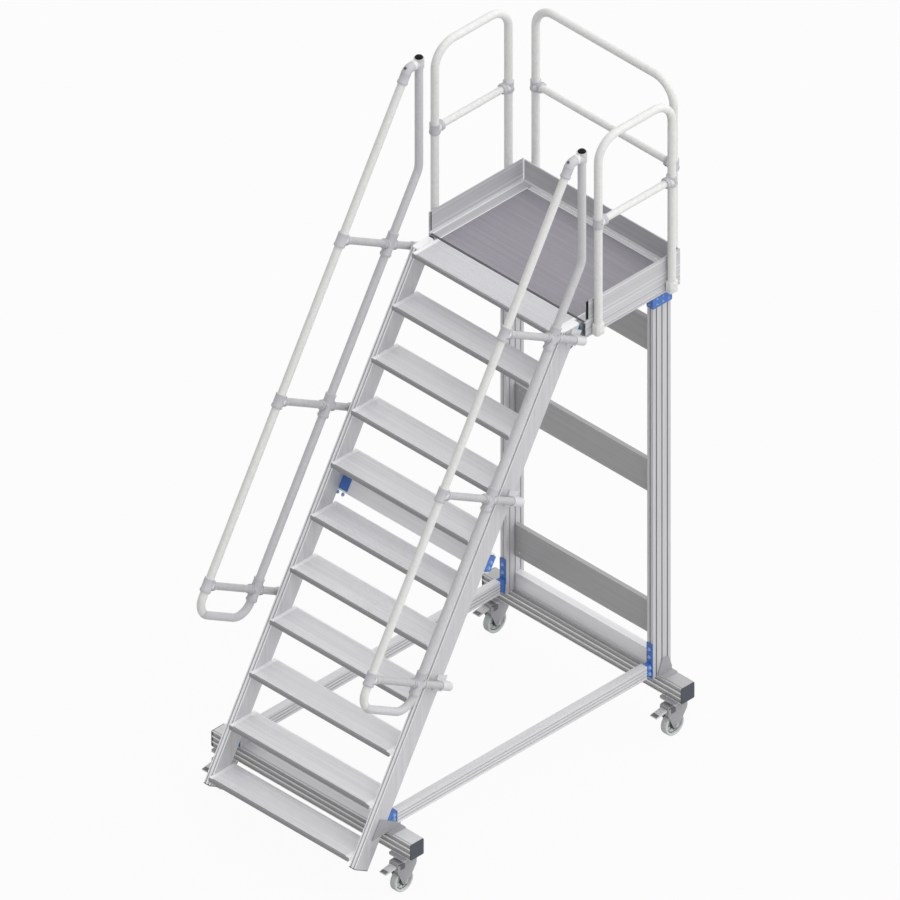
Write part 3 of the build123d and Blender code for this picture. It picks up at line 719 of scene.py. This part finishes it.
# Painted shade: a dark sheet over the gap between the top tread and the deck, which lies in shade
gap_shade = strip("gap_shade", (-GAP_SHADE_HALF, GAP_SHADE_HALF), (GAP_FRONT, DECK_FRONT), (-0.008, -0.0005), 0.0006, 2)
gap_top_shade = strip("gap_top_shade", (-GAP_TOP_HALF, GAP_TOP_HALF), (GAP_FRONT - 0.0005, DECK_FRONT), (-0.0006, 0.001), 0.0004)
fit(dress(join([gap_shade, gap_top_shade], "deck_gap_shade"), gap_shade_dark), "frame", "black_plastic")

EDGE_SOFT = 0.0005
inner_left, inner_right = both_sides(INNER_EDGE)
outer_left, outer_right = both_sides(OUTER_EDGE)
# Bright strips that paint highlights along the deck's edges
highlight_spans = (
    (inner_left, (DECK_FRONT, DECK_BACK), INNER_EDGE_UP),
    (inner_right, (DECK_FRONT, DECK_BACK), INNER_EDGE_UP),
    ((inner_left[1], inner_right[0]), (0.775, DECK_BACK), INNER_EDGE_UP),
    ((-BACK_EDGE_HALF, BACK_EDGE_HALF), (0.801, 0.8072), (-0.0081, -0.0030)),
    (outer_left, (DECK_FRONT, 0.807), OUTER_EDGE_UP),
    (outer_right, (DECK_FRONT, 0.807), OUTER_EDGE_UP),
)
edges = [strip("edge", *spans, EDGE_SOFT) for spans in highlight_spans]
fit(dress(join(edges, "deck_edge_highlight_strips"), flange_and_highlight_alu), "frame", "deck")

board_ends = []
for face, wide in ((-0.5230, 0.006), (0.5350, 0.0163)):
    across = (face, face + BOARD_END_THICK)
    board_ends.append(strip("strip", across, (BOARD_END, BOARD_END + wide), (0.022, 0.130), EDGE_SOFT, 2))
fit(dress(join(board_ends, "toe_board_ends"), black_plastic), "frame", "black_plastic")

# Bolts, made once and set on each plate
PLATE_X = 0.515
HEAD_PLATE_X = 0.525
POST_FACE = NOSE + 0.645
POST_REAR_FACE = NOSE + 0.775
HEAD_BOLTS_UP = (2.503, 2.535)
CROSS_BAR_S = -1.239
SHOE_DROP = 0.04


def make_bolt(name, head, height):
    """A hexagon head on a washer, standing on the origin and pointing up."""
    washer_tall = height / 4
    washer = soften(round_bar("washer", head * 1.35, 0, washer_tall, 20), height * 0.06, 1)
    hexagon = soften(round_bar("hexagon", head, washer_tall, washer_tall + height, 6), height * 0.12)
    return dress(join([hexagon, washer], name), bolt_zinc)


def bolt_set(name, kind, places, finish):
    """Copies of one bolt as one piece, each at its place and looking its way."""
    copies = [copy_to(kind, f"{name}_{i}", facing(*place)) for i, place in enumerate(places)]
    return fit(dress(join(copies, name), finish), "frame", "fork")


def post_foot_places(side):
    """Four bolts up the front of the post, and two beside the end of the side rail."""
    places = [((side * POST_X, POST_FACE, 0.332 + row * 0.046), (0, -1, 0)) for row in range(4)]
    return places + [((side * PLATE_X, NOSE + 0.63, height), (side, 0, 0)) for height in (0.338, 0.375)]


def post_head_places(side):
    """At each height, three bolts on the outer side, one in front and one behind."""
    places = []
    for height in HEAD_BOLTS_UP:
        for along in (0.672, 0.711, 0.750):
            places.append(((side * HEAD_PLATE_X, NOSE + along, height), (side, 0, 0)))
        places.append(((side * POST_X, POST_FACE, height), (0, -1, 0)))
        places.append(((side * POST_X, POST_REAR_FACE, height), BACKWARDS))
    return places


def stringer_plate_places(side):
    """On the shoes of the cross bar, in two rows."""
    places = []
    for up in (0.028, 0.058):
        for across in (0.44, 0.475, 0.5):
            places.append((on_slope(side * across, -0.14, CROSS_BAR_S + up - SHOE_DROP), -SLOPE_OUT))
        places.append((on_slope(side * PLATE_X, -0.16, CROSS_BAR_S + up), (side, 0, 0)))
    return places


def front_bracket_places(side):
    return [((side * PLATE_X, NOSE - 1.11, height), (side, 0, 0)) for height in (0.353, 0.376)]


bolt = make_bolt("bolt", 0.0075, 0.006)
small_bolt = make_bolt("small_bolt", 0.0045, 0.004)
for name, kind, find_places in (
    ("post_foot_bolts", bolt, post_foot_places),
    ("post_head_bolts", small_bolt, post_head_places),
    ("stringer_plate_bolts", bolt, stringer_plate_places),
    ("front_bracket_bolts", bolt, front_bracket_places),
):
    bolt_set(name, kind, [place for side in SIDES for place in find_places(side)], painted_bolt)
remove(bolt, small_bolt)

# Sleeves and elbows of the handrails
RAIL_X = 0.555
UPPER_Q = 0.464
KNEE_Q = 0.087
STRUT_ROWS = (0.008, -0.844, -1.818)
COLLAR_GAP = 0.035
POST_BEHIND = 0.130
ELBOW_UP = 1.020
PLUG_UP = 1.050
SLEEVE_R = 0.0264
COLLAR_R = 0.0240
ELBOW_R = 0.0246
ELBOW_BEND = 0.034
ELBOW_LEG = 0.050
ELBOW_RISER = 0.047
RIM_TALL = 0.006
RIM_PROUD = 0.0012
RIM_STEP = 0.0001


def make_sleeve(name, radius, long, finish=fitting_alu, screws=1):
    """A sleeve along Z, centred on the origin, with raised rims and sunk screws towards X."""
    barrel = round_bar(name, radius, RIM_TALL - long / 2, long / 2 - RIM_TALL)
    wider = (radius + RIM_PROUD) / radius
    for sign in SIDES:
        select_faces(barrel, looking(2, sign))
        push((0, 0, RIM_STEP * sign))
        bpy.ops.transform.resize(value=(wider, wider, 1))
        push((0, 0, (RIM_TALL - RIM_STEP) * sign))
        leave_edit()
    pieces = [dress(smooth(soften(barrel, 0.0008)), finish)]
    for number in range(screws):
        height = (number - (screws - 1) / 2) * long * 0.42
        screw = sunk_screw(0.0045, 0.0016, 0.0016, 0.0012, 16, axle_steel)
        place = Matrix.Translation((radius - 0.0006, 0, height))
        screw.data.transform(place @ Matrix.Rotation(math.pi / 2, 4, "Y"))
        pieces.append(screw)
    return join(pieces, name)


def make_elbow():
    """The casting that turns from the slope to level, with a sunk screw in its upper side."""
    body = round_bar("elbow", ELBOW_R, -ELBOW_LEG, 0.0, 32)
    select_faces(body, looking(2))
    bpy.ops.mesh.spin(steps=8, angle=SLOPE, center=(0, ELBOW_BEND, 0), axis=RIGHT)
    push((0, math.sin(SLOPE) * ELBOW_RISER, math.cos(SLOPE) * ELBOW_RISER))
    bpy.ops.mesh.select_all(action="SELECT")
    bpy.ops.mesh.remove_doubles(threshold=0.00002)
    turn_outwards()
    leave_edit()
    dress(smooth(soften(body, 0.002, 3)), fitting_alu)
    screw = sunk_screw(0.0075, 0.0030, 0.002, 0.0015, 20, dark_metal_and_hole_shade)
    lean = math.radians(22)
    out = Vector((0, -math.cos(lean), math.sin(lean)))
    seat = Vector((0, ELBOW_BEND, 0)) + out * (ELBOW_BEND + ELBOW_R - 0.0014)
    screw.data.transform(stand(seat, out, RIGHT))
    whole = join([body, screw], "elbow")
    turn = Matrix((RIGHT, -SLOPE_OUT, SLOPE_UP)).transposed().to_4x4()
    corner = Vector((0, NOSE + 0.0531, TOP + ELBOW_UP))
    reach = ELBOW_BEND * math.tan(SLOPE / 2)
    whole.data.transform(Matrix.Translation(corner - SLOPE_UP * reach) @ turn)
    return whole


elbow = make_elbow()
long_sleeve = make_sleeve("long_sleeve", SLEEVE_R, 0.121, screws=2)
tee_sleeve = make_sleeve("tee_sleeve", SLEEVE_R, 0.071, screws=2)
short_collar = make_sleeve("short_collar", COLLAR_R, 0.024)
elbow_socket = make_sleeve("elbow_socket", 0.0250, 0.060)
post_collar = make_sleeve("post_collar", 0.0232, 0.050, tube_alu, 0)
for label, side in SIDE_NAMES.items():
    sleeves = []
    out = (side, 0, 0)
    for s in STRUT_ROWS:
        knee_place = on_slope(side * RAIL_X, KNEE_Q, s)
        upper_place = on_slope(side * RAIL_X, UPPER_Q, s)
        sleeves.append(copy_to(long_sleeve, "knee_sleeve", stand(knee_place, SLOPE_UP, out)))
        sleeves.append(copy_to(tee_sleeve, "upper_sleeve", stand(upper_place, SLOPE_UP, out)))
        for q in (KNEE_Q - COLLAR_GAP, KNEE_Q + COLLAR_GAP, UPPER_Q - COLLAR_GAP):
            collar_place = on_slope(side * RAIL_X, q, s)
            sleeves.append(copy_to(short_collar, "strut_collar", stand(collar_place, SLOPE_OUT, out)))
    post_place = (side * RAIL_X, NOSE + POST_BEHIND, TOP + ELBOW_UP)
    sleeves.append(copy_to(post_collar, "post_collar", stand(post_place, UP, out)))
    socket_place = on_slope(side * RAIL_X, UPPER_Q, 0.862)
    sleeves.append(copy_to(elbow_socket, "elbow_socket", stand(socket_place, SLOPE_UP, out)))
    sleeves.append(copy_to(elbow, "elbow", Matrix.Translation((side * RAIL_X, 0, 0))))
    fit(join(sleeves, f"handrail_sleeves_{label}"), "frame", "fitting")
remove(long_sleeve, tee_sleeve, short_collar, elbow_socket, post_collar, elbow)

# Fittings of the guard hoops. Each row has the near leg, the far leg, the way out and the way along
SIDE_HOOP_X = 0.5565
SIDE_LEGS = (NOSE + 0.240, NOSE + 0.741)
BACK_LEG_X = 0.470
BACK_HOOP_Y = NOSE + 0.8405
HOOPS = {
    "left": ((-SIDE_HOOP_X, SIDE_LEGS[0]), (-SIDE_HOOP_X, SIDE_LEGS[1]), (-1, 0, 0), BACKWARDS),
    "right": ((SIDE_HOOP_X, SIDE_LEGS[0]), (SIDE_HOOP_X, SIDE_LEGS[1]), RIGHT, BACKWARDS),
    "back": ((-BACK_LEG_X, BACK_HOOP_Y), (BACK_LEG_X, BACK_HOOP_Y), BACKWARDS, RIGHT),
}
KNEE_BAR_Z = TOP + 0.578
TEE_GAP = 0.0355
FOOT_Z = TOP - 0.0762
FOOT_HALF = 0.0275
FOOT_IN = 0.0218
FOOT_OUT = 0.0222
FOOT_TALL = 0.0608
FOOT_ROUND = 0.0135
FOOT_PAD = 0.0012


def make_hoop_foot():
    """The clamp of a hoop leg with its rounded sides, along X, its outer face towards Y."""
    foot = block("hoop_foot", (-FOOT_HALF, -FOOT_IN, 0), (FOOT_HALF, FOOT_OUT, FOOT_TALL))
    weights = foot.data.attributes.new("bevel_weight_edge", "FLOAT", "EDGE")
    for index, line in enumerate(foot.data.edges):
        low, high = (foot.data.vertices[v].co for v in line.vertices)
        weights.data[index].value = 1.0 if abs(low.z - high.z) > FOOT_TALL / 2 else 0.0
    corner = foot.modifiers.new("corner", "BEVEL")
    corner.width = FOOT_ROUND
    corner.segments = 6
    corner.limit_method = "WEIGHT"
    apply_all(foot)
    shape_faces(foot, looking(1, least=0.95), (0.007, (0, FOOT_PAD, 0)))
    pieces = [dress(smooth(soften(foot, 0.0008)), tube_alu)]
    for height in (0.016, 0.045):
        screw = sunk_screw(0.005, 0.002, 0.0018, 0.0014, 16, tube_alu)
        screw.data.transform(stand((0, FOOT_OUT + 0.001, height), BACKWARDS, RIGHT))
        pieces.append(screw)
    return join(pieces, "hoop_foot")


hoop_foot = make_hoop_foot()
hoop_sleeve = make_sleeve("hoop_sleeve", SLEEVE_R, 0.057)
hoop_collar = make_sleeve("hoop_collar", SLEEVE_R, 0.022)
for label, (near_leg, far_leg, out, along) in HOOPS.items():
    fittings = []
    across = Matrix((along, out, UP)).transposed().to_4x4()
    for leg, inward in ((near_leg, 1), (far_leg, -1)):
        tee_place = Vector((*leg, KNEE_BAR_Z))
        collar_place = tee_place + Vector(along) * inward * TEE_GAP
        fittings.append(copy_to(hoop_sleeve, "tee", stand(tee_place, UP, out)))
        fittings.append(copy_to(hoop_collar, "collar", stand(collar_place, along, out)))
        fittings.append(copy_to(hoop_foot, "foot", Matrix.Translation((*leg, FOOT_Z)) @ across))
    hoop = join(fittings, f"hoop_fittings_{label}")
    select_faces(hoop, lambda face: True)
    turn_outwards()
    leave_edit()
    fit(hoop, "frame", "fitting")
remove(hoop_foot, hoop_sleeve, hoop_collar)

# Knobs on the plugs of the grab posts
KNOB_R = 0.0205
KNOB_TALL = 0.0035
knobs = []
for side in SIDES:
    knob = round_bar("knob", KNOB_R, TOP + PLUG_UP, TOP + PLUG_UP + KNOB_TALL)
    shape_faces(knob, looking(2), (0.0025, (0, 0, 0.0040)), (0.009, (0, 0, 0.0015)))
    smooth(soften(knob, 0.0014, 3))
    knob.data.transform(Matrix.Translation((side * RAIL_X, NOSE + POST_BEHIND, 0)))
    knobs.append(dress(knob, black_plastic))
fit(join(knobs, "rail_knobs"), "frame", "black_plastic", "rail_plugs")

# Casters: a fork with pressed legs and a brake pedal, a rubber tyre and a dark wheel centre
CASTER_X = 0.605
WHEEL_R = 0.0625
TRAIL = 0.032
LEG_IN = 0.025
LEG_THICK = 0.005
LEG_FOOT = 0.022
LEG_TOE = 0.016
CROWN_LOW = 0.1737
CROWN_TALL = 0.014
CROWN_TOP = CROWN_LOW + CROWN_TALL
CROWN_HALF = 0.030
CROWN_FRONT = 0.088
CROWN_BACK = 0.042
APRON_LOW = 0.1397
APRON_HALF = 0.0295
RACE_R = 0.038
RACE_TALL = 0.016
BAND_R = 0.0395
PEDAL_TIP = 0.162
PEDAL_HALF = 0.023
PEDAL_LIP_HALF = 0.019
PEDAL_UP = 0.1617
PEDAL_LOW = 0.1557
TYRE_HALF = 0.020
TYRE_WALL = 0.0135
TYRE_DISH = 0.012
CENTRE_R = 0.0488
CENTRE_HALF = 0.010
SPOKE_SPAN = (0.024, 0.042)
SPOKE_HALF = 0.0016
SPOKE_TALL_HALF = 0.0025
SPOKE_OUT = 0.0065
SPOKES = 8


def at_axle(x, out):
    """The matrix that sets Z along the wheel's axle, at x."""
    return stand((x, -TRAIL, WHEEL_R), (out, 0, 0), UP)


def make_leg(side):
    """One pressed leg with a dark plate that paints the shade seen through the hole in it, and the axle's
    head on a washer.
    """
    half_foot = LEG_FOOT / 2
    outline = (
        (CROWN_BACK, CROWN_TOP),
        (CROWN_BACK, APRON_LOW),
        (-TRAIL + LEG_FOOT, WHEEL_R),
        (-TRAIL + half_foot, WHEEL_R - LEG_TOE),
        (-TRAIL - half_foot, WHEEL_R - LEG_TOE),
        (-TRAIL - LEG_FOOT, WHEEL_R),
        (-CROWN_FRONT, APRON_LOW),
        (-CROWN_FRONT, CROWN_TOP),
    )
    outer = side * (LEG_IN + LEG_THICK)
    across = sorted((side * LEG_IN, outer))
    leg = profile_plate("leg", rounded(outline, 0.014), *across)
    dress(smooth(soften(leg, 0.0012)), pressed_steel)
    # Painted shade: a dark plate where the hole in the leg shows only shade
    hole = rounded(((-0.070, 0.146), (-0.038, 0.146), (-0.038, 0.182), (-0.070, 0.182)), 0.005)
    across = sorted((outer - side * 0.0006, outer + side * 0.0004))
    hole_shade = dress(profile_plate("hole_shade", hole, *across), dark_metal_and_hole_shade)
    axle = dress(soften(round_bar("axle", 0.011, 0, 0.0055, 6), 0.001), axle_steel)
    washer = dress(soften(round_bar("washer", 0.014, 0, 0.0015, 28), 0.0004, 1), axle_steel)
    for part in (axle, washer):
        part.data.transform(at_axle(outer, side))
    return [leg, hole_shade, axle, washer]


def make_fork():
    """The fork at rest, with its swivel axis on the world's Z axis."""
    pieces = make_leg(-1) + make_leg(1)
    crown = block("crown", (-CROWN_HALF, -CROWN_FRONT, CROWN_LOW), (CROWN_HALF, CROWN_BACK, CROWN_TOP))
    pieces.append(dress(smooth(soften(crown, 0.004, 4)), pressed_steel))
    apron_high = (APRON_HALF, LEG_THICK - CROWN_FRONT, CROWN_LOW + 0.004)
    apron = block("apron", (-APRON_HALF, -CROWN_FRONT, APRON_LOW), apron_high)
    pieces.append(dress(smooth(soften(apron, 0.0015)), pressed_steel))
    race = round_bar("race", RACE_R, CROWN_TOP, CROWN_TOP + RACE_TALL, 56)
    shape_faces(race, looking(2), (0.004, (0, 0, -0.002)))
    pieces.append(dress(smooth(soften(race, 0.0025, 3)), pressed_steel))
    band = round_bar("band", BAND_R, CROWN_TOP + 0.003, CROWN_TOP + 0.007, 56)
    pieces.append(dress(smooth(soften(band, 0.0015)), dark_metal_and_hole_shade))
    side_view = (
        (-CROWN_FRONT, CROWN_LOW),
        (-CROWN_FRONT, PEDAL_UP),
        (-PEDAL_TIP, PEDAL_LOW),
        (-PEDAL_TIP, PEDAL_UP),
    )
    pedal = profile_plate("pedal", side_view, -PEDAL_HALF, PEDAL_HALF)
    pieces.append(dress(smooth(soften(pedal, 0.002, 3)), pedal_steel))
    lip = block("lip", (-PEDAL_LIP_HALF, -0.160, 0.1600), (PEDAL_LIP_HALF, -0.1575, 0.1640))
    lip = repeat(soften(lip, 0.0006, 1), 5, (0, 0.0045, 0.00075))
    pieces.append(dress(lip, dark_metal_and_hole_shade))
    return join(pieces, "fork")


def make_tyre():
    tyre = round_bar("tyre", WHEEL_R, -TYRE_HALF, TYRE_HALF, 72)
    for sign in SIDES:
        shape_faces(tyre, looking(2, sign), (TYRE_WALL, (0, 0, -TYRE_DISH * sign)))
    soften(tyre, 0.006, 4)
    dress(smooth(tyre), tyre_rubber)
    tyre.data.transform(at_axle(0, 1))
    return tyre


def make_centre():
    """A dished disc with a hub and spokes on each face."""
    disc = round_bar("disc", CENTRE_R, -CENTRE_HALF, CENTRE_HALF, 64)
    for sign in SIDES:
        rim = (0.005, (0, 0, -0.003 * sign))
        hub = (0.019, (0, 0, 0.0155 * sign))
        bore = (0.006, (0, 0, -0.002 * sign))
        shape_faces(disc, looking(2, sign), rim, hub, bore)
    pieces = [dress(smooth(soften(disc, 0.0012)), wheel_plastic)]
    for sign in SIDES:
        middle = SPOKE_OUT * sign
        low = (SPOKE_SPAN[0], -SPOKE_HALF, middle - SPOKE_TALL_HALF)
        high = (SPOKE_SPAN[1], SPOKE_HALF, middle + SPOKE_TALL_HALF)
        spoke = dress(soften(block("spoke", low, high), 0.0006, 1), wheel_plastic)
        for number in range(SPOKES):
            turn = Matrix.Rotation(number * 2 * math.pi / SPOKES, 4, "Z")
            pieces.append(copy_to(spoke, "spoke", turn))
        remove(spoke)
    centre = join(pieces, "centre")
    centre.data.transform(at_axle(0, 1))
    return centre


fork, tyre, centre = make_fork(), make_tyre(), make_centre()
PLATE_UNDERSIDE = 0.204
plate_bolts = []
for end, label in CORNERS:
    corner = f"{end}_{label}"
    x, y = SIDE_NAMES[label] * CASTER_X, BEAM_MIDDLE[end]
    move = Matrix.Translation((x, y, 0))
    pressed = copy_to(fork, "pressed_fork_" + corner, move)
    fit(pressed, "swivel_" + corner, "fork", "caster_fork_" + corner)
    rubber = copy_to(tyre, "rubber_tyre_" + corner, move)
    fit(rubber, "wheel_" + corner, "tyre", "caster_tyre_" + corner)
    disc = copy_to(centre, "wheel_centre_" + corner, move)
    fit(disc, "wheel_" + corner, "wheel_body", "caster_hub_" + corner)
    for across in (-0.045, 0.045):
        for along in (-0.058, 0.034):
            plate_bolts.append(((x + across, y + along, PLATE_UNDERSIDE), (0, 0, -1)))
plate_bolt = make_bolt("bolt", 0.0065, 0.005)
bolt_set("caster_plate_bolts", plate_bolt, plate_bolts, bolt_zinc)
remove(fork, tyre, centre, plate_bolt)

# Floor, light and camera
FLOOR_SIZE = 60
FLOOR_GLOW_SHARE = 0.94
LIGHT_LEAN = (0.60, 0.55, 0.52)
LIGHT_LEVEL = 0.76
VIEW_WIDTH = 4.335
VIEW_AIM = Vector((-0.3442, NOSE + 0.1308, 1.4795))
VIEW_AWAY = 12
VIEW_END = 100


def plain_sight(owner, share):
    """A factor that is share for what the camera or a reflection sees, and 0 for all other light."""
    seen = add_node(owner, "ShaderNodeLightPath", {})
    either = calculate(owner, "MAXIMUM", seen.outputs["Is Camera Ray"], seen.outputs["Is Glossy Ray"])
    return calculate(owner, "MULTIPLY", either, share)


def add_floor():
    """A grey floor that takes the shadow, and looks nearly white to the camera."""
    bpy.ops.mesh.primitive_plane_add(size=FLOOR_SIZE, location=(0, 0, 0))
    floor = settle(bpy.context.object, "floor")
    paper = new_finish("white_floor", 0.0, 0.9)
    shader_of(paper).inputs["Base Color"].default_value = (0.5, 0.5, 0.5, 1)
    glow = add_node(paper, "ShaderNodeEmission", {"Color": (1, 1, 1, 1), "Strength": 1.0})
    parts = {
        "Fac": plain_sight(paper, FLOOR_GLOW_SHARE),
        1: shader_of(paper).outputs["BSDF"],
        2: glow.outputs["Emission"],
    }
    mix = add_node(paper, "ShaderNodeMixShader", parts)
    feed(paper, paper.node_tree.nodes["Material Output"].inputs["Surface"], mix.outputs["Shader"])
    dress(floor, paper)


def add_light():
    """Soft light from all round, more from the right, the back and above, and white where it is seen."""
    world = bpy.data.worlds.new("studio")
    bpy.context.scene.world = world
    world.use_nodes = True
    sky = world.node_tree.nodes["Background"]
    sky.inputs["Color"].default_value = (1, 1, 1, 1)
    around = add_node(world, "ShaderNodeTexCoord", {}).outputs["Generated"]
    lean = add_node(world, "ShaderNodeVectorMath", {0: around, 1: LIGHT_LEAN}, operation="DOT_PRODUCT")
    level = calculate(world, "ADD", lean.outputs["Value"], LIGHT_LEVEL)
    blend = add_node(world, "ShaderNodeMix", {"Factor": plain_sight(world, 1.0), "A": level, "B": 1.0})
    feed(world, sky.inputs["Strength"], blend.outputs["Result"])


def add_camera():
    """An exact isometric view from the front right."""
    turn = math.radians(45)
    lift = math.atan(1 / math.sqrt(2))
    level = math.cos(lift)
    back = Vector((level * math.sin(turn), -level * math.cos(turn), math.sin(lift)))
    data = bpy.data.cameras.new("camera")
    data.type = "ORTHO"
    data.ortho_scale = VIEW_WIDTH
    data.clip_end = VIEW_END
    camera = bpy.data.objects.new("camera", data)
    camera.location = VIEW_AIM + back * VIEW_AWAY
    camera.rotation_euler = back.to_track_quat("Z", "Y").to_euler()
    bpy.context.scene.collection.objects.link(camera)
    bpy.context.scene.camera = camera


add_floor()
add_light()
add_camera()
bpy.context.scene.view_settings.view_transform = "Standard"
